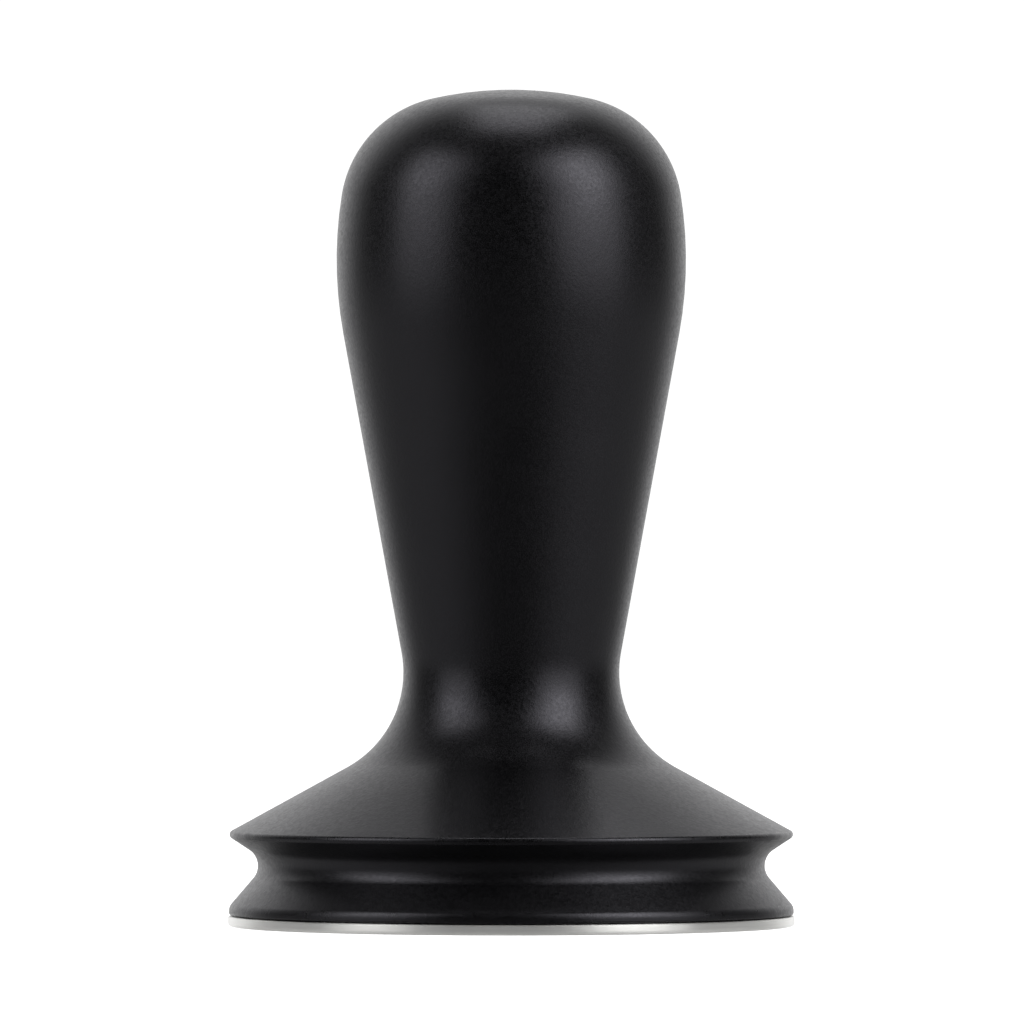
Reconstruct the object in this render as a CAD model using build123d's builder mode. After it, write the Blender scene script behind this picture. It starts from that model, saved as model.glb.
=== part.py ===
from build123d import *
import os
from math import radians, tan

# Espresso tamper: a turned bulb handle that flares into a grooved skirt, screwed down on a steel tamping base.
# Millimetres, +Z up. The origin is the centre of the flat tamping face, which the tamper stands on.

# Handle outline, from the crown down. Each stretch leaves the one before it tangentially.
total_height = 85.5
crown_radius = 36.59
crown_sweep = 12.94
shoulder_radius = 11.97
shoulder_sweep = 67.86
side_radius = 41.89
taper_angle = 10.35  # the shank's wall, off vertical
taper_length = 33.2
neck_radius = 11.06
cone_angle = 28.765  # the skirt's upper face, below horizontal
cone_length = 13.46
lip_radius = 0.45
lip_underside_angle = 33.47
lip_underside_length = 2.165
groove_radius = 1.96
foot_angle = 49.4  # the skirt's lower face, below horizontal
foot_round = 1.1
skirt_radius = 28.88
skirt_edge_round = 0.2

# Tamping base, a 58 mm disc with a boss that centres the handle
base_radius = 29.0
flange_height = 1.05
flange_bottom_round = 0.4
flange_top_round = 0.2
boss_radius = 23.0
boss_height = 10.0
boss_chamfer = 0.5
seam_gap = 0.12
counterbore_clearance = 0.2

# O-ring and its groove on the boss
o_ring_cord = 1.25
o_ring_squeeze = 0.05  # how far the cord stays off the counterbore wall
o_ring_height = 6.2
o_ring_groove_width = 1.5

# Friction washer between the boss and the roof of the counterbore
washer_thickness = 0.5
washer_outer_radius = 15.0
washer_inner_radius = 5.3

# M10 x 1.5 screw pair: a hexagon-socket stud fixed in the base, and a bush pressed into the handle.
# The threads are plain cylinders of their major diameter, with a running clearance between them.
stud_radius = 5.0
stud_length = 20.0
stud_top = 22.9
stud_chamfer = 0.9
thread_clearance = 0.08
socket_across_flats = 5.0
socket_depth = 5.0
insert_radius = 7.0
insert_length = 12.0
insert_chamfer = 0.3
drive_slot_width = 1.6
drive_slot_depth = 1.6
relief_radius = 5.3
relief_top = 25.0
drill_half_angle = 59

# Heights that follow from the sizes above
washer_bottom = boss_height
roof = boss_height + washer_thickness
insert_top = roof + insert_length
skirt_bottom = flange_height + seam_gap
counterbore_radius = boss_radius + counterbore_clearance
stud_bottom = stud_top - stud_length
o_ring_mean_radius = counterbore_radius - o_ring_squeeze - o_ring_cord / 2
o_ring_groove_floor = o_ring_mean_radius - o_ring_cord / 2


def finish(piece, name):
    """Label one piece and write it as parts/NAME.step."""
    piece.part.label = name
    export_step(piece.part, f"parts/{name}.step")


os.makedirs("parts", exist_ok=True)


# Handle body: one turned piece, from the crown to the skirt's underside, with the base's recess below
with BuildPart() as handle_body:
    with BuildSketch(Plane.XZ):
        with BuildLine():
            crown = JernArc((0, total_height), (1, 0), crown_radius, -crown_sweep)
            shoulder = JernArc(crown @ 1, crown % 1, shoulder_radius, -shoulder_sweep)
            side_sweep = 90 + taper_angle - crown_sweep - shoulder_sweep
            side = JernArc(shoulder @ 1, shoulder % 1, side_radius, -side_sweep)
            taper = Line(side @ 1, side @ 1 + taper_length * (side % 1))
            neck_sweep = 90 + taper_angle - cone_angle
            neck = JernArc(taper @ 1, taper % 1, neck_radius, neck_sweep)
            cone = Line(neck @ 1, neck @ 1 + cone_length * (neck % 1))
            lip_sweep = 180 - cone_angle - lip_underside_angle
            lip = JernArc(cone @ 1, cone % 1, lip_radius, -lip_sweep)
            underside = Line(lip @ 1, lip @ 1 + lip_underside_length * (lip % 1))
            groove_sweep = 180 - lip_underside_angle - foot_angle
            groove = JernArc(underside @ 1, underside % 1, groove_radius, groove_sweep)
            foot = groove @ 1
            foot_drop = (skirt_radius - foot.X) * tan(radians(foot_angle))
            FilletPolyline(
                foot,
                (skirt_radius, foot.Y - foot_drop),
                (skirt_radius, skirt_bottom),
                (counterbore_radius, skirt_bottom),
                radius=[foot_round, skirt_edge_round],
            )
            Polyline(
                (counterbore_radius, skirt_bottom),
                (counterbore_radius, roof),
                (insert_radius, roof),
                (insert_radius, insert_top),
                (relief_radius, insert_top),
                (relief_radius, relief_top),
                (0, relief_top + relief_radius / tan(radians(drill_half_angle))),
                (0, total_height),
            )
        make_face()
    revolve(axis=Axis.Z)
finish(handle_body, "handle_body")


# Thread insert: a stainless bush, pressed into the handle and slotted below for its driver
with BuildPart() as thread_insert:
    with BuildSketch(Plane.XY.offset(roof)):
        Circle(insert_radius)
        Circle(stud_radius, mode=Mode.SUBTRACT)
    extrude(amount=insert_length)
    outer_rims = thread_insert.edges().filter_by(GeomType.CIRCLE).group_by(SortBy.RADIUS)[-1]
    chamfer(outer_rims, insert_chamfer)
    with BuildSketch(Plane.XY.offset(roof)):
        Rectangle(2 * insert_radius, drive_slot_width)
    extrude(amount=drive_slot_depth, mode=Mode.SUBTRACT)
finish(thread_insert, "thread_insert")


# Base stud: a socket set screw, its lower half fixed in the base and its upper half standing out of the boss
with BuildPart() as base_stud:
    thread_radius = stud_radius - thread_clearance
    with BuildSketch(Plane.XZ):
        with BuildLine():
            Polyline(
                (0, stud_bottom),
                (stud_radius - stud_chamfer, stud_bottom),
                (stud_radius, stud_bottom + stud_chamfer),
                (stud_radius, boss_height),
                (thread_radius, boss_height),
                (thread_radius, stud_top - stud_chamfer),
                (thread_radius - stud_chamfer, stud_top),
                (0, stud_top),
                close=True,
            )
        make_face()
    revolve(axis=Axis.Z)
    with BuildSketch(Plane.XY.offset(stud_top)):
        RegularPolygon(socket_across_flats / 2, 6, major_radius=False)
    extrude(amount=-socket_depth, mode=Mode.SUBTRACT)
finish(base_stud, "base_stud")


# Friction washer: a nylon ring that the handle is tightened down on
with BuildPart() as friction_washer:
    with BuildSketch(Plane.XY.offset(washer_bottom)):
        Circle(washer_outer_radius)
        Circle(washer_inner_radius, mode=Mode.SUBTRACT)
    extrude(amount=washer_thickness)
finish(friction_washer, "friction_washer")


# O-ring: keeps coffee and water out of the recess
with BuildPart() as o_ring:
    with BuildSketch(Plane.XZ):
        with Locations((o_ring_mean_radius, o_ring_height)):
            Circle(o_ring_cord / 2)
    revolve(axis=Axis.Z)
finish(o_ring, "o_ring")


# Tamping base: flange, boss, o-ring groove and the stud's blind hole, turned from one steel bar
with BuildPart() as tamping_base:
    with BuildSketch(Plane.XZ):
        groove_low = o_ring_height - o_ring_groove_width / 2
        groove_high = o_ring_height + o_ring_groove_width / 2
        with BuildLine():
            FilletPolyline(
                (0, 0),
                (base_radius, 0),
                (base_radius, flange_height),
                (boss_radius, flange_height),
                radius=[flange_bottom_round, flange_top_round],
            )
            Polyline(
                (boss_radius, flange_height),
                (boss_radius, groove_low),
                (o_ring_groove_floor, groove_low),
                (o_ring_groove_floor, groove_high),
                (boss_radius, groove_high),
                (boss_radius, boss_height - boss_chamfer),
                (boss_radius - boss_chamfer, boss_height),
                (stud_radius, boss_height),
                (stud_radius, stud_bottom),
                (0, stud_bottom),
                (0, 0),
            )
        make_face()
    revolve(axis=Axis.Z)
finish(tamping_base, "tamping_base")
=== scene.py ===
from math import atan2, ceil, cos, degrees, dist, floor, pi, radians, sin, tan

import bmesh
import bpy
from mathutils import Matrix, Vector


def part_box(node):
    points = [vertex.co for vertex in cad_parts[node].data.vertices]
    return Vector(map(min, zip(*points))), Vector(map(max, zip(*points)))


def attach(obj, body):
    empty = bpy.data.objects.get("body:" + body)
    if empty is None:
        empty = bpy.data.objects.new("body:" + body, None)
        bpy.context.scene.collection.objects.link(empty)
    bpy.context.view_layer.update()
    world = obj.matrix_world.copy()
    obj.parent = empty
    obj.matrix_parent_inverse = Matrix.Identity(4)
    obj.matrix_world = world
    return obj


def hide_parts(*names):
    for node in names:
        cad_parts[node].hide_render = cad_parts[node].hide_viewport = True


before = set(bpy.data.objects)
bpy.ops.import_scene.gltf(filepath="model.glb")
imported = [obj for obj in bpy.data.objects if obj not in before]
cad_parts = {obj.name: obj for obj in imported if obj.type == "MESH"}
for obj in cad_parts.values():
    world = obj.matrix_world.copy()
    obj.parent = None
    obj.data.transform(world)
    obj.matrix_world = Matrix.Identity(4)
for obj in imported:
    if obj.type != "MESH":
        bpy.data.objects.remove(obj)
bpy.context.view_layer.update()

# Espresso tamper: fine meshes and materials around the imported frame. Outlines are in millimetres, as
# (radius, height) over the tamping face, and become metres where the meshes are made.
MM = 0.001

# Mesh fineness
SEGMENTS = 288  # round the axis, on the turned pieces
THREAD_SEGMENTS = 96  # round the axis, on the threaded pieces
ARC_STEP = 3.0  # degrees of an outline's arc per stretch
LONGEST_STRETCH = 1.5  # between two points of an outline
CREASE = 20.0  # degrees of turn in an outline that show as a crisp edge
THREAD_CREASE = 25.0  # degrees between two faces of a threaded piece that show as a crisp edge
WELD = 1e-8  # metres
FLAT = 1e-9  # metres of height below which a thread's face has been squeezed away
WEAR_PER_SHARPNESS = 0.5  # how worn an edge is that turns 1 radian a millimetre
SHORTEST_REACH = 0.001


def corners(node):
    """The lowest and the highest corner of a CAD node's box, in millimetres."""
    return [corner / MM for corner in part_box(node)]


# Heights and radii taken from the frame
base_high = corners("tamping_base")[1]
body_low, body_high = corners("handle_body")
stud_low, stud_high = corners("base_stud")
insert_low, insert_high = corners("thread_insert")
washer_low, washer_high = corners("friction_washer")
ring_low, ring_high = corners("o_ring")

# Handle outline, from the crown down
CROWN = (36.59, 12.94)  # radius and sweep of an arc
SHOULDER = (11.97, 67.86)
SIDE_RADIUS = 41.89
TAPER_ANGLE = 10.35
TAPER_LENGTH = 33.2
NECK_RADIUS = 11.06
CONE_ANGLE = 28.765
CONE_LENGTH = 13.46
LIP_RADIUS = 0.45
UNDERSIDE_ANGLE = 33.47
UNDERSIDE_LENGTH = 2.165
GROOVE_RADIUS = 1.96
FOOT_ANGLE = 49.4
FOOT_ROUND = 1.1
SKIRT_EDGE_ROUND = 0.2

# Recess under the handle
COUNTERBORE_RADIUS = 23.2
MOUTH_CHAMFER = 0.25
RELIEF_RADIUS = 5.3
RELIEF_TOP = 25.0
DRILL_HALF_ANGLE = 59.0
BORE_GAP = 0.01  # keeps touching walls of two pieces from lying in one plane

# Tamping base
FLANGE_HEIGHT = 1.05
FLANGE_BOTTOM_ROUND = 0.4
FLANGE_TOP_ROUND = 0.2
RIM_LEAN = 0.035  # how much narrower the rim is at its top
BOSS_RADIUS = 23.0
BOSS_CHAMFER = 0.5
STUD_HOLE_CHAMFER = 0.3
SEAL_GROOVE_WIDTH = 1.5
INNER_FILLET = 0.15  # in the base's inner corners
OUTER_FILLET = 0.1  # on the seal groove's two edges
WASHER_BORE = 5.3
WASHER_START = 1.0  # how far outside its bore the washer's outline starts and ends
WASHER_EDGE_ROUND = 0.12

# M10 x 1.5 thread, as (tip radius, half width of the tip, carrier radius, half width at the carrier)
PITCH = 1.5
OUTSIDE_THREAD = (5.0, 0.094, 4.08, 0.6245)
INSIDE_THREAD = (5.1, 0.136, 4.29, 0.6035)
STUD_CHAMFER = 0.9
SOCKET_ACROSS_FLATS = 5.0
SOCKET_DEPTH = 5.0
SOCKET_DRILL_POINT = 1.0
SOCKET_MOUTH = (0.15, 0.35)  # how far it flares out, and from how deep
INSERT_CHAMFER = 0.3
INSERT_COUNTERSINK = 0.7
DRIVE_SLOT_WIDTH = 1.6
DRIVE_SLOT_DEPTH = 1.6


class Outline:
    """A meridian outline, drawn like a pen line with a heading in degrees, 0 outward and 90 up."""

    def __init__(self, radius, height):
        self.points = [(radius, height)]
        self.heading = 0.0

    def arc(self, radius, sweep):
        """Turn through sweep degrees, positive to the left."""
        steps = ceil(abs(sweep) / ARC_STEP)
        chord = 2 * radius * sin(radians(abs(sweep)) / steps / 2)
        for _ in range(steps):
            self.heading += sweep / steps / 2
            self.forward(chord)
            self.heading += sweep / steps / 2
        return self

    def forward(self, length):
        """Go straight on, in stretches of moderate length."""
        stretches = ceil(length / LONGEST_STRETCH)
        for _ in range(stretches):
            radius, height = self.points[-1]
            step = length / stretches
            course = radians(self.heading)
            self.points.append((radius + step * cos(course), height + step * sin(course)))
        return self

    def through(self, *stops):
        """Go straight from stop to stop, each (radius, height) or (radius, height, fillet radius)."""
        for i, corner in enumerate(stops):
            radius, height = self.points[-1]
            ahead = dist(self.points[-1], corner[:2])
            self.heading = degrees(atan2(corner[1] - height, corner[0] - radius))
            fillet = corner[2] if len(corner) > 2 else 0.0
            if not fillet:
                self.forward(ahead)
                continue
            after = stops[i + 1]
            leaving = degrees(atan2(after[1] - corner[1], after[0] - corner[0]))
            sweep = (leaving - self.heading + 180) % 360 - 180
            self.forward(ahead - fillet * tan(radians(abs(sweep)) / 2))
            self.arc(fillet, sweep)
        return self


def turn_at(before, here, after):
    """How far an outline turns at a point, in degrees, positive to the left."""
    arriving = atan2(here[1] - before[1], here[0] - before[0])
    leaving = atan2(after[1] - here[1], after[0] - here[0])
    return (degrees(leaving - arriving) + 180) % 360 - 180


def circle(radius, height, segments=THREAD_SEGMENTS):
    """One loop of points about the axis, in millimetres. On the axis itself it is a single point."""
    if radius * MM < WELD:
        return [(0.0, 0.0, height)]
    angles = [2 * pi * i / segments for i in range(segments)]
    return [(radius * cos(a), radius * sin(a), height) for a in angles]


def skin(bm, loops, creased=()):
    """Faces between each loop and the next. A loop whose number is in creased gets a crisp edge."""
    rings = [[bm.verts.new(Vector(point) * MM) for point in loop] for loop in loops]
    for low, high in zip(rings, rings[1:]):
        count = max(len(low), len(high))
        for i in range(count):
            j = (i + 1) % count
            around = [low[i % len(low)], low[j % len(low)], high[j % len(high)], high[i % len(high)]]
            bm.faces.new(list(dict.fromkeys(around)))
    for number in creased:
        ring = rings[number]
        for pair in zip(ring, ring[1:] + ring[:1]):
            bm.edges.get(pair).smooth = False
    return rings


def weld(bm):
    """Join what meets, drop what has no size, and turn the faces outward."""
    bmesh.ops.remove_doubles(bm, verts=bm.verts, dist=WELD)
    bmesh.ops.dissolve_degenerate(bm, edges=bm.edges, dist=WELD)
    bmesh.ops.recalc_face_normals(bm, faces=bm.faces)


def mesh_object(name, bm):
    """A smooth-shaded object from a bmesh."""
    weld(bm)
    for face in bm.faces:
        face.smooth = True
    mesh = bpy.data.meshes.new(name)
    bm.to_mesh(mesh)
    bm.free()
    piece = bpy.data.objects.new(name, mesh)
    bpy.context.scene.collection.objects.link(piece)
    return piece


def lathe(name, outline):
    """Turn an outline about the axis. Each vertex carries how sharp the outer edge is there, for wear."""
    points = outline.points
    bm = bmesh.new()
    wear = bm.verts.layers.float.new("edge_wear")
    turns = {i: turn_at(*points[i - 1:i + 2]) for i in range(1, len(points) - 1)}
    creased = [i for i, turn in turns.items() if abs(turn) > CREASE]
    rings = skin(bm, [circle(radius, height, SEGMENTS) for radius, height in points], creased)
    for i, turn in turns.items():
        reach = (dist(points[i - 1], points[i]) + dist(points[i], points[i + 1])) / 2
        sharpness = radians(-turn) / max(reach, SHORTEST_REACH)
        for vertex in rings[i]:
            vertex[wear] = min(1.0, max(0.0, WEAR_PER_SHARPNESS * sharpness))
    return mesh_object(name, bm)


def handle_outline():
    """Crown, shank, neck, cone, lip, groove and foot, then the recess that the base sits in."""
    out = Outline(0.0, body_high.z)
    out.arc(CROWN[0], -CROWN[1])
    out.arc(SHOULDER[0], -SHOULDER[1])
    out.arc(SIDE_RADIUS, -(90 + TAPER_ANGLE - CROWN[1] - SHOULDER[1]))
    out.forward(TAPER_LENGTH)
    out.arc(NECK_RADIUS, 90 + TAPER_ANGLE - CONE_ANGLE)
    out.forward(CONE_LENGTH)
    out.arc(LIP_RADIUS, -(180 - CONE_ANGLE - UNDERSIDE_ANGLE))
    out.forward(UNDERSIDE_LENGTH)
    out.arc(GROOVE_RADIUS, 180 - UNDERSIDE_ANGLE - FOOT_ANGLE)
    foot_radius, foot_height = out.points[-1]
    skirt_radius = body_high.x
    foot_drop = (skirt_radius - foot_radius) * tan(radians(FOOT_ANGLE))
    bore_radius = insert_high.x
    return out.through(
        (skirt_radius, foot_height - foot_drop, FOOT_ROUND),
        (skirt_radius, body_low.z, SKIRT_EDGE_ROUND),
        (COUNTERBORE_RADIUS + MOUTH_CHAMFER, body_low.z),
        (COUNTERBORE_RADIUS, body_low.z + MOUTH_CHAMFER),
        (COUNTERBORE_RADIUS, insert_low.z),
        (bore_radius, insert_low.z),
        (bore_radius, insert_high.z),
        (RELIEF_RADIUS, insert_high.z),
        (RELIEF_RADIUS, RELIEF_TOP),
        (0.0, RELIEF_TOP + RELIEF_RADIUS / tan(radians(DRILL_HALF_ANGLE))),
    )


def base_outline():
    """Tamping face, flange, boss with its seal groove, and the stud's hole."""
    groove_middle = (ring_low.z + ring_high.z) / 2
    groove_floor = ring_high.x - (ring_high.z - ring_low.z)
    rim = base_high.x
    return Outline(0.0, 0.0).through(
        (rim, 0.0, FLANGE_BOTTOM_ROUND),
        (rim, FLANGE_HEIGHT / 2),
        (rim - RIM_LEAN, FLANGE_HEIGHT, FLANGE_TOP_ROUND),
        (BOSS_RADIUS, FLANGE_HEIGHT, INNER_FILLET),
        (BOSS_RADIUS, groove_middle - SEAL_GROOVE_WIDTH / 2, OUTER_FILLET),
        (groove_floor, groove_middle - SEAL_GROOVE_WIDTH / 2, INNER_FILLET),
        (groove_floor, groove_middle + SEAL_GROOVE_WIDTH / 2, INNER_FILLET),
        (BOSS_RADIUS, groove_middle + SEAL_GROOVE_WIDTH / 2, OUTER_FILLET),
        (BOSS_RADIUS, base_high.z - BOSS_CHAMFER),
        (BOSS_RADIUS - BOSS_CHAMFER, base_high.z),
        (stud_high.x + STUD_HOLE_CHAMFER, base_high.z),
        (stud_high.x, base_high.z - STUD_HOLE_CHAMFER),
        (stud_high.x, stud_low.z),
        (0.0, stud_low.z),
    )


def washer_outline():
    """A flat ring with softly rounded edges."""
    low, high = washer_low.z + BORE_GAP, washer_high.z - BORE_GAP
    inner, outer = WASHER_BORE, washer_high.x
    start = inner + WASHER_START
    return Outline(start, low).through(
        (outer, low, WASHER_EDGE_ROUND),
        (outer, high, WASHER_EDGE_ROUND),
        (inner, high, WASHER_EDGE_ROUND),
        (inner, low, WASHER_EDGE_ROUND),
        (start, low),
    )


def seal_outline():
    """The o-ring's round cord."""
    cord = (ring_high.z - ring_low.z) / 2
    return Outline(ring_high.x - cord, ring_low.z).arc(cord, 360)


def thread_radius(height, angle, thread):
    """Radius of a right-hand thread's surface. A tooth's middle passes height 0 at angle 0."""
    tip, tip_half, carrier, carrier_half = thread
    along = height - PITCH * angle / (2 * pi)
    off_tooth = abs((along + PITCH / 2) % PITCH - PITCH / 2)
    share = (off_tooth - tip_half) / (carrier_half - tip_half)
    return tip + (carrier - tip) * min(1.0, max(0.0, share))


def thread_offsets(thread):
    """Heights of a tooth's edges and flank middles within one pitch, from its middle."""
    tip_half, carrier_half = thread[1], thread[3]
    flank = (tip_half + carrier_half) / 2
    return [-carrier_half, -flank, -tip_half, tip_half, flank, carrier_half]


def thread_loop(height, thread, limit):
    """The thread's surface cut square across at one height."""
    loop = []
    for i in range(THREAD_SEGMENTS):
        angle = 2 * pi * i / THREAD_SEGMENTS
        radius = limit(thread_radius(height, angle, thread), height)
        loop.append((radius * cos(angle), radius * sin(angle), height))
    return loop


def thread_faces(bm, thread, low, high, limit):
    """A helical grid whose rows follow the tooth's edges, between two heights. limit shapes the ends."""
    offsets = thread_offsets(thread)
    rows_per_pitch = len(offsets)
    first = floor(low / PITCH - 2) * rows_per_pitch  # far enough past both ends for every column
    last = ceil(high / PITCH + 1) * rows_per_pitch

    def point(i, row):
        angle = 2 * pi * i / THREAD_SEGMENTS
        free = offsets[row % rows_per_pitch] + PITCH * (row // rows_per_pitch) + PITCH * i / THREAD_SEGMENTS
        height = min(high, max(low, free))
        radius = limit(thread_radius(height, angle, thread), height)
        return Vector((radius * cos(angle), radius * sin(angle), height)) * MM

    for i in range(THREAD_SEGMENTS):
        for row in range(first, last):
            around = [point(i, row), point(i + 1, row), point(i + 1, row + 1), point(i, row + 1)]
            heights = [corner.z for corner in around]
            if max(heights) - min(heights) > FLAT:
                bm.faces.new([bm.verts.new(corner) for corner in around])


def crease_thread(bm):
    """Weld a threaded piece, and mark as crisp the edges where its faces meet at an angle."""
    weld(bm)
    for edge in bm.edges:
        if len(edge.link_faces) == 2 and edge.calc_face_angle(0.0) > radians(THREAD_CREASE):
            edge.smooth = False


def hexagon(across_flats, height):
    """A hexagon as a loop with as many points as a threaded piece has round it."""
    loop = []
    for i in range(THREAD_SEGMENTS):
        angle = 2 * pi * i / THREAD_SEGMENTS
        radius = across_flats / 2 / cos((angle + pi / 6) % (pi / 3) - pi / 6)
        loop.append((radius * cos(angle), radius * sin(angle), height))
    return loop


def make_stud():
    """The set screw: its shank in the base, its thread above, and the key socket in its top."""
    top, bottom, shoulder = stud_high.z, stud_low.z, base_high.z - STUD_HOLE_CHAMFER
    shank = stud_high.x - BORE_GAP
    flare, flare_depth = SOCKET_MOUTH
    mouth = SOCKET_ACROSS_FLATS / 2 / cos(pi / 6) + flare
    floor_height = top - SOCKET_DEPTH

    def limit(radius, height):
        return min(radius, OUTSIDE_THREAD[0] - STUD_CHAMFER + max(0.0, top - height))

    bm = bmesh.new()
    thread_faces(bm, OUTSIDE_THREAD, shoulder, top, limit)
    skin(bm, [
        circle(0.0, bottom),
        circle(shank - STUD_CHAMFER, bottom),
        circle(shank, bottom + STUD_CHAMFER),
        circle(shank, shoulder),
        thread_loop(shoulder, OUTSIDE_THREAD, limit),
    ])
    skin(bm, [
        thread_loop(top, OUTSIDE_THREAD, limit),
        circle(mouth, top),
        hexagon(SOCKET_ACROSS_FLATS, top - flare_depth),
        hexagon(SOCKET_ACROSS_FLATS, floor_height),
        circle(0.0, floor_height - SOCKET_DRILL_POINT),
    ])
    crease_thread(bm)
    return mesh_object("set_screw", bm)


def make_insert():
    """The bush in the handle: threaded right through, chamfered, and slotted across its lower end."""
    low, high = insert_low.z + BORE_GAP, insert_high.z - BORE_GAP
    outer = insert_high.x - BORE_GAP

    def limit(radius, height):
        from_end = min(height - low, high - height)
        return max(radius, INSIDE_THREAD[2] + INSERT_COUNTERSINK - from_end)

    bm = bmesh.new()
    thread_faces(bm, INSIDE_THREAD, low, high, limit)
    skin(bm, [
        thread_loop(low, INSIDE_THREAD, limit),
        circle(outer - INSERT_CHAMFER, low),
        circle(outer, low + INSERT_CHAMFER),
        circle(outer, high - INSERT_CHAMFER),
        circle(outer - INSERT_CHAMFER, high),
        thread_loop(high, INSIDE_THREAD, limit),
    ])
    crease_thread(bm)
    bush = mesh_object("threaded_bush", bm)

    block = bmesh.new()
    bmesh.ops.create_cube(block, size=1.0)
    size = Vector((3 * outer, DRIVE_SLOT_WIDTH, 2 * DRIVE_SLOT_DEPTH)) * MM
    bmesh.ops.scale(block, vec=size, verts=block.verts)
    bmesh.ops.translate(block, vec=Vector((0, 0, low * MM)), verts=block.verts)
    cutter = mesh_object("slot_cutter", block)
    cut = bush.modifiers.new("drive_slots", "BOOLEAN")
    cut.operation, cut.solver, cut.object = "DIFFERENCE", "EXACT", cutter
    cut_mesh = bpy.data.meshes.new_from_object(bush.evaluated_get(bpy.context.evaluated_depsgraph_get()))
    bush.modifiers.clear()
    bush.data = cut_mesh
    bpy.data.objects.remove(cutter)
    return bush


# Materials. Sizes and depths of relief are in millimetres, colours are linear.

DIMPLE_SIZE = 0.24
DIMPLE_GLOSS = 0.055  # how far a dimple's roughness is off the average
RUBBED_GLOSS = 0.1  # how much roughness a sharp edge has lost
LINE_TONES = (0.93, 1.03)  # of the steel's colour, in its dark and its light turning lines
LINE_HAZE = 0.08  # how much rougher the roughest lines are
SMUDGE_HAZE = 0.06  # how much roughness a smudge adds
LINE_WANDER = 0.00006  # metres that a turning line strays


def add_node(tree, kind, inputs, **settings):
    """A node with its settings, and its inputs given as values or as other nodes' outputs."""
    made = tree.nodes.new(kind)
    for name, value in settings.items():
        setattr(made, name, value)
    for name, value in inputs.items():
        if isinstance(value, bpy.types.NodeSocket):
            tree.links.new(value, made.inputs[name])
        else:
            made.inputs[name].default_value = value
    return made


class Shader:
    """A node material with a Principled shader, and short calls for the nodes that feed it."""

    def __init__(self, name, **constants):
        self.material = bpy.data.materials.new(name)
        self.material.use_nodes = True
        self.tree = self.material.node_tree
        self.surface = self.tree.nodes["Principled BSDF"]
        for socket, value in constants.items():
            self.surface.inputs[socket.replace("_", " ")].default_value = value
        self.place = self.node("ShaderNodeTexCoord").outputs["Object"]

    def node(self, kind, inputs=None, **settings):
        """A node of this material."""
        return add_node(self.tree, kind, inputs or {}, **settings)

    def noise(self, size_mm, detail=2.0, roughness=0.5, place=None):
        """Noise with features of the size given, from 0 to 1."""
        inputs = {"Vector": place or self.place, "Scale": 1 / (size_mm * MM), "Detail": detail}
        return self.node("ShaderNodeTexNoise", {**inputs, "Roughness": roughness}).outputs["Fac"]

    def axial(self):
        """The place's distance from the axis, and its height."""
        split = self.node("ShaderNodeSeparateXYZ", {"Vector": self.place}).outputs
        across = self.node("ShaderNodeCombineXYZ", {"X": split["X"], "Y": split["Y"]}).outputs["Vector"]
        radius = self.node("ShaderNodeVectorMath", {0: across}, operation="LENGTH").outputs["Value"]
        return radius, split["Z"]

    def spread(self, value, low, high, start=0.0, end=1.0):
        """A value from start to end, spread over the range low to high."""
        inputs = {"Value": value, "From Min": start, "From Max": end, "To Min": low, "To Max": high}
        return self.node("ShaderNodeMapRange", inputs, clamp=True).outputs["Result"]

    def stretch(self, noise, low=0.0, high=1.0, start=0.3, end=0.7):
        """Noise, most of which lies from start to end, spread over the range low to high."""
        return self.spread(noise, low, high, start, end)

    def math(self, operation, a, b=0.0):
        """One sum of two numbers."""
        return self.node("ShaderNodeMath", {0: a, 1: b}, operation=operation).outputs[0]

    def blend(self, share, a, b):
        """From colour a to colour b. A mix node's colour sockets are inputs 0, 6 and 7, and output 2."""
        mixed = self.node("ShaderNodeMix", {0: share, 6: (*a, 1.0), 7: (*b, 1.0)}, data_type="RGBA")
        return mixed.outputs[2]

    def bump(self, height, depth_mm, before=None):
        """Relief of the depth given, on top of other relief if there is any."""
        inputs = {"Height": height, "Distance": depth_mm * MM, "Strength": 1.0}
        if before is not None:
            inputs["Normal"] = before
        return self.node("ShaderNodeBump", inputs).outputs["Normal"]

    def feed(self, socket, value):
        """Link a value to the shader."""
        self.tree.links.new(value, self.surface.inputs[socket])

    def attribute(self, name):
        """A number carried by the mesh's vertices."""
        return self.node("ShaderNodeAttribute", attribute_name=name).outputs["Fac"]


def anodised():
    """Bead-blasted, black anodised aluminium: dimples of uneven gloss, faint mottling, rubbed edges."""
    s = Shader("black_anodised", IOR=1.6, Specular_Tint=(0.92, 0.9, 1.0, 1.0))
    cells = {"Vector": s.place, "Scale": 1 / (DIMPLE_SIZE * MM), "Randomness": 1.0}
    dimples = s.node("ShaderNodeTexVoronoi", cells)
    tone = s.node("ShaderNodeSeparateColor", {"Color": dimples.outputs["Color"]}).outputs["Red"]
    grain = s.noise(0.5, detail=3.0)
    mottle = s.noise(9.0, detail=4.0)
    patches = s.stretch(s.noise(2.2, detail=3.0), start=0.45)
    worn = s.math("MULTIPLY", s.math("MULTIPLY", s.attribute("edge_wear"), patches), RUBBED_GLOSS)
    gloss = s.math("ADD", s.spread(tone, -DIMPLE_GLOSS, DIMPLE_GLOSS), s.stretch(mottle, 0.325, 0.35))
    s.feed("Base Color", s.blend(s.stretch(mottle), (0.001, 0.001, 0.0011), (0.002, 0.002, 0.0021)))
    s.feed("Roughness", s.math("SUBTRACT", gloss, worn))
    s.feed("Normal", s.bump(dimples.outputs["Distance"], 0.005, s.bump(grain, 0.012)))
    return s.material


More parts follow.
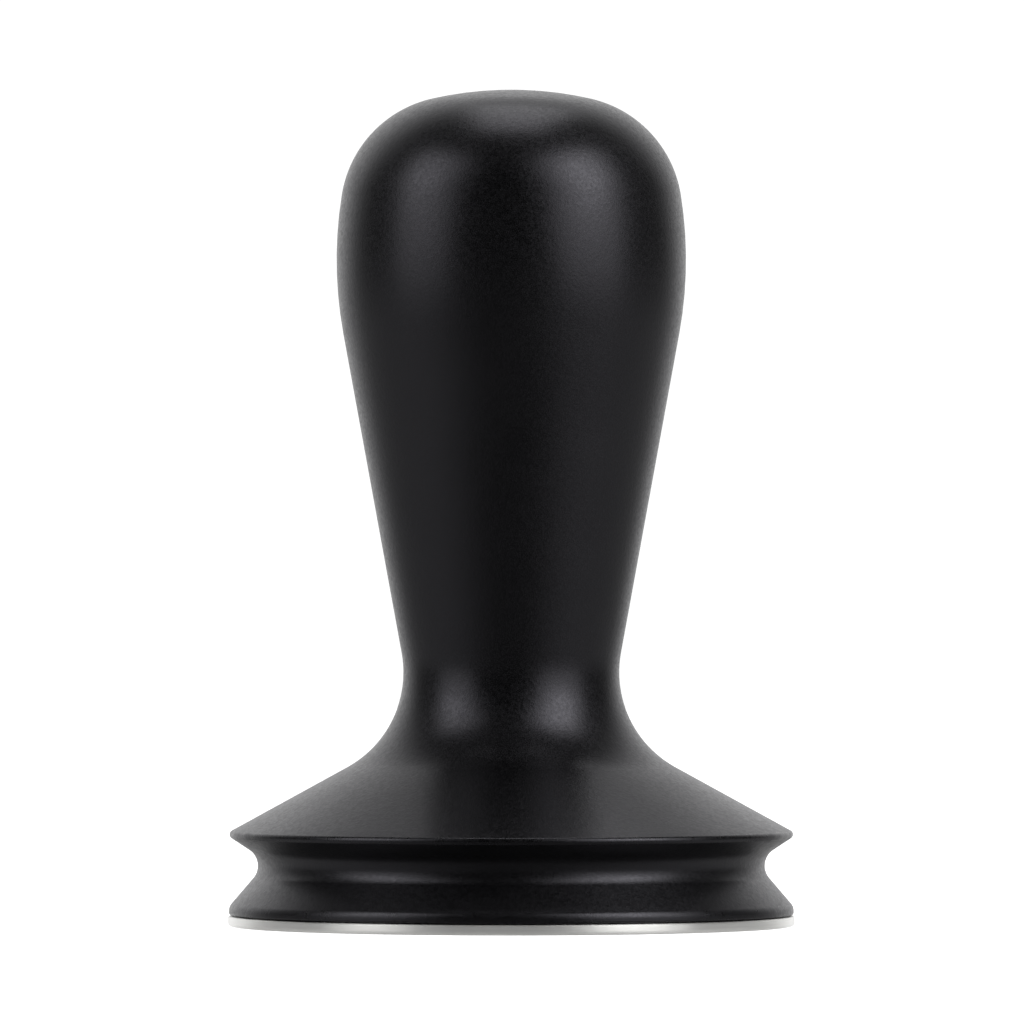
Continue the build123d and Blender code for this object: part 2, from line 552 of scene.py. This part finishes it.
def turned_steel(name, colour, roughness, line_mm, depth_mm):
    """Turned stainless steel: fine rings about the axis, a little haze and a few light smudges."""
    s = Shader(name, Metallic=0.75, Anisotropic=1.0, Anisotropic_Rotation=0.25)
    s.feed("Tangent", s.node("ShaderNodeTangent", direction_type="RADIAL", axis="Z").outputs["Tangent"])
    radius, height = s.axial()
    wander = s.math("MULTIPLY", s.noise(14.0, detail=1.0), LINE_WANDER)
    turned = {"X": s.math("ADD", radius, wander), "Y": s.math("ADD", height, wander)}
    rings = s.node("ShaderNodeCombineXYZ", turned).outputs["Vector"]
    lines = s.noise(line_mm, detail=3.0, roughness=0.7, place=rings)
    dark, light = ([tone * c for c in colour] for tone in LINE_TONES)
    haze = s.stretch(s.noise(7.0, detail=4.0), 0.0, SMUDGE_HAZE, start=0.45)
    s.feed("Base Color", s.blend(s.stretch(lines), dark, light))
    s.feed("Roughness", s.math("ADD", s.stretch(lines, roughness, roughness + LINE_HAZE), haze))
    s.feed("Normal", s.bump(lines, depth_mm))
    return s.material


def fastener_steel():
    """Plain stainless steel for the set screw: slightly dull, with brown-grey stains from handling."""
    s = Shader("fastener_steel", Metallic=1.0)
    grain = s.noise(0.25, detail=3.0)
    stain = s.stretch(s.noise(2.5, detail=3.0), start=0.35)
    s.feed("Base Color", s.blend(stain, (0.5, 0.49, 0.47), (0.36, 0.35, 0.33)))
    s.feed("Roughness", s.stretch(grain, 0.24, 0.38))
    s.feed("Normal", s.bump(grain, 0.003))
    return s.material


def nylon():
    """Natural nylon: milky, faintly translucent, with rings where the handle has turned on it."""
    s = Shader("nylon", IOR=1.53, Subsurface_Weight=0.25, Subsurface_Scale=0.0008)
    rings = s.node("ShaderNodeCombineXYZ", {"X": s.axial()[0]}).outputs["Vector"]
    scuffs = s.noise(0.3, detail=3.0, place=rings)
    s.feed("Base Color", s.blend(s.stretch(scuffs, start=0.4), (0.74, 0.71, 0.64), (0.6, 0.57, 0.5)))
    s.feed("Roughness", s.stretch(scuffs, 0.35, 0.55))
    s.feed("Normal", s.bump(scuffs, 0.008, s.bump(s.noise(0.2), 0.004)))
    return s.material


def rubber():
    """Nitrile rubber: dull black with a dusty bloom."""
    s = Shader("nitrile_rubber", IOR=1.5)
    bloom = s.noise(1.2, detail=4.0)
    dust = s.stretch(bloom, start=0.4, end=0.75)
    s.feed("Base Color", s.blend(dust, (0.012, 0.012, 0.012), (0.035, 0.034, 0.033)))
    s.feed("Roughness", s.stretch(bloom, 0.5, 0.68))
    s.feed("Normal", s.bump(s.noise(0.08), 0.002))
    return s.material


def place(piece, material, node, body, slot):
    """Give a piece its material, put it on its body, and let it stand for its CAD node."""
    piece.data.materials.clear()
    piece.data.materials.append(material)
    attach(piece, body)
    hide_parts(node)


bush_steel = turned_steel("bush_steel", (0.5, 0.49, 0.47), 0.22, line_mm=0.12, depth_mm=0.004)
polished_steel = turned_steel("polished_steel", (0.92, 0.915, 0.89), 0.34, line_mm=0.09, depth_mm=0.0008)

place(lathe("handle", handle_outline()), anodised(), "handle_body", "handle", "black_anodised")
place(make_insert(), bush_steel, "thread_insert", "handle", "insert_steel")
place(lathe("tamping_disc", base_outline()), polished_steel, "tamping_base", "base", "polished_steel")
place(make_stud(), fastener_steel(), "base_stud", "base", "stud_steel")
place(lathe("washer_ring", washer_outline()), nylon(), "friction_washer", "washer", "nylon")
place(lathe("seal", seal_outline()), rubber(), "o_ring", "base", "seal_rubber")


# Studio: a white floor and a white surround for the camera, softboxes at the front left, the front right
# and overhead, and in reflections a dim room with a bright backdrop. Lengths are in metres.

CAMERA_DISTANCE = 1.25
CAMERA_HEIGHT = 0.04233
CAMERA_SIDE = 0.00007  # how far right of the axis
FIELD_WIDTH = 0.10471  # across the picture, at the axis
FLOOR_RADIUS = 1.4
FLOOR_GAP = 0.00002  # keeps the floor from lying in one plane with the tamping face
FLOOR_TONE = ((0.9, 0.9, 0.9), (0.92, 0.92, 0.92))

# The surround in reflections. A direction has length 1, with X sideways, Y backwards and Z up, and each pair
# named for one of them says where along it a part of the surround begins and where it is full.
ROOM_Y = (-1.0, 0.1)
ROOM_LIGHT = (0.004, 0.06)  # in front, and from the sides to the back
GROUND_Z = (0.05, -0.2)
GROUND_X = (0.2, 0.9)
GROUND_LIGHT = (0.05, 0.24)  # in the middle, and at the sides
BACKDROP_Y = (0.46, 1.0)
BACKDROP_Z = (-0.6, 0.05)
BACKDROP_LIGHT = 1.02
BACKDROP_TURN = 0.045  # how much it favours the left
BACKDROP_FLARE = 0.4  # how much wider it is high up


def softbox(name, azimuth, elevation, distance, width, height, radiance):
    """A soft area light that faces the tamper. Azimuth 0 is the camera's side and 90 is its right."""
    light = bpy.data.lights.new(name, "AREA")
    light.shape, light.size, light.size_y = "RECTANGLE", width, height
    light.energy = radiance * pi * width * height
    lamp = bpy.data.objects.new(name, light)
    lamp.visible_camera = False
    bpy.context.scene.collection.objects.link(lamp)
    a, e = radians(azimuth), radians(elevation)
    middle = Vector((0.0, 0.0, CAMERA_HEIGHT))
    out = Vector((sin(a) * cos(e), -cos(a) * cos(e), sin(e)))
    lamp.location = middle + distance * out
    lamp.rotation_mode = "QUATERNION"
    lamp.rotation_quaternion = (-out).to_track_quat("-Z", "Y")


def surround():
    """White where the camera sees it. In reflections, a room that is dim in front and lighter elsewhere."""
    world = bpy.data.worlds.new("studio")
    bpy.context.scene.world = world
    world.use_nodes = True
    tree = world.node_tree

    def between(value, ends, low=0.0, high=1.0):
        inputs = {"Value": value, "From Min": ends[0], "From Max": ends[1], "To Min": low, "To Max": high}
        return add_node(tree, "ShaderNodeMapRange", inputs, interpolation_type="SMOOTHSTEP").outputs["Result"]

    def math(operation, a, b=0.0):
        return add_node(tree, "ShaderNodeMath", {0: a, 1: b}, operation=operation).outputs[0]

    direction = tree.nodes.new("ShaderNodeTexCoord").outputs["Generated"]
    x, y, z = add_node(tree, "ShaderNodeSeparateXYZ", {"Vector": direction}).outputs
    sideways = math("ABSOLUTE", x)
    room = between(y, ROOM_Y, *ROOM_LIGHT)
    ground = math("MULTIPLY", between(z, GROUND_Z), between(sideways, GROUND_X, *GROUND_LIGHT))
    flare = math("MULTIPLY", math("MULTIPLY", sideways, z), BACKDROP_FLARE)
    behind = math("ADD", math("SUBTRACT", y, math("MULTIPLY", x, BACKDROP_TURN)), flare)
    backdrop = math("MULTIPLY", between(behind, BACKDROP_Y, 0.0, BACKDROP_LIGHT), between(z, BACKDROP_Z))
    dim = math("ADD", math("ADD", room, ground), backdrop)
    seen = tree.nodes.new("ShaderNodeLightPath").outputs["Is Camera Ray"]
    background = tree.nodes["Background"]
    background.inputs["Color"].default_value = (1.0, 1.0, 1.0, 1.0)
    tree.links.new(math("MAXIMUM", dim, seen), background.inputs["Strength"])


def make_floor():
    """A round white paper floor, matt, and out of sight of the gloss."""
    bm = bmesh.new()
    bmesh.ops.create_circle(bm, cap_ends=True, segments=SEGMENTS, radius=FLOOR_RADIUS)
    bmesh.ops.translate(bm, vec=(0.0, 0.0, -FLOOR_GAP), verts=bm.verts)
    ground = mesh_object("floor", bm)
    s = Shader("white_paper", Roughness=0.9, Emission_Strength=1.0)
    s.surface.inputs["Emission Color"].default_value = (1.0, 1.0, 1.0, 1.0)
    s.feed("Base Color", s.blend(s.noise(400.0), *FLOOR_TONE))
    ground.data.materials.append(s.material)
    ground.visible_glossy = False


def make_camera():
    """Level with the middle of the tamper, and far enough back to flatten it."""
    data = bpy.data.cameras.new("camera")
    data.lens = data.sensor_width * CAMERA_DISTANCE / FIELD_WIDTH
    camera = bpy.data.objects.new("camera", data)
    bpy.context.scene.collection.objects.link(camera)
    camera.location = (CAMERA_SIDE, -CAMERA_DISTANCE, CAMERA_HEIGHT)
    camera.rotation_euler = (pi / 2, 0.0, 0.0)
    bpy.context.scene.camera = camera


surround()
make_floor()
# Each core is the brighter middle of the softbox before it
softbox("left_softbox", azimuth=-62, elevation=25, distance=1.0, width=0.72, height=1.06, radiance=0.84)
softbox("left_core", azimuth=-66, elevation=31, distance=1.0, width=0.36, height=0.54, radiance=1.15)
softbox("right_softbox", azimuth=54, elevation=26, distance=1.0, width=0.9, height=1.14, radiance=1.05)
softbox("right_core", azimuth=56, elevation=33, distance=1.0, width=0.44, height=0.62, radiance=2.15)
softbox("overhead", azimuth=174, elevation=75, distance=1.1, width=0.54, height=0.8, radiance=1.62)
make_camera()
bpy.context.scene.view_settings.view_transform = "Standard"
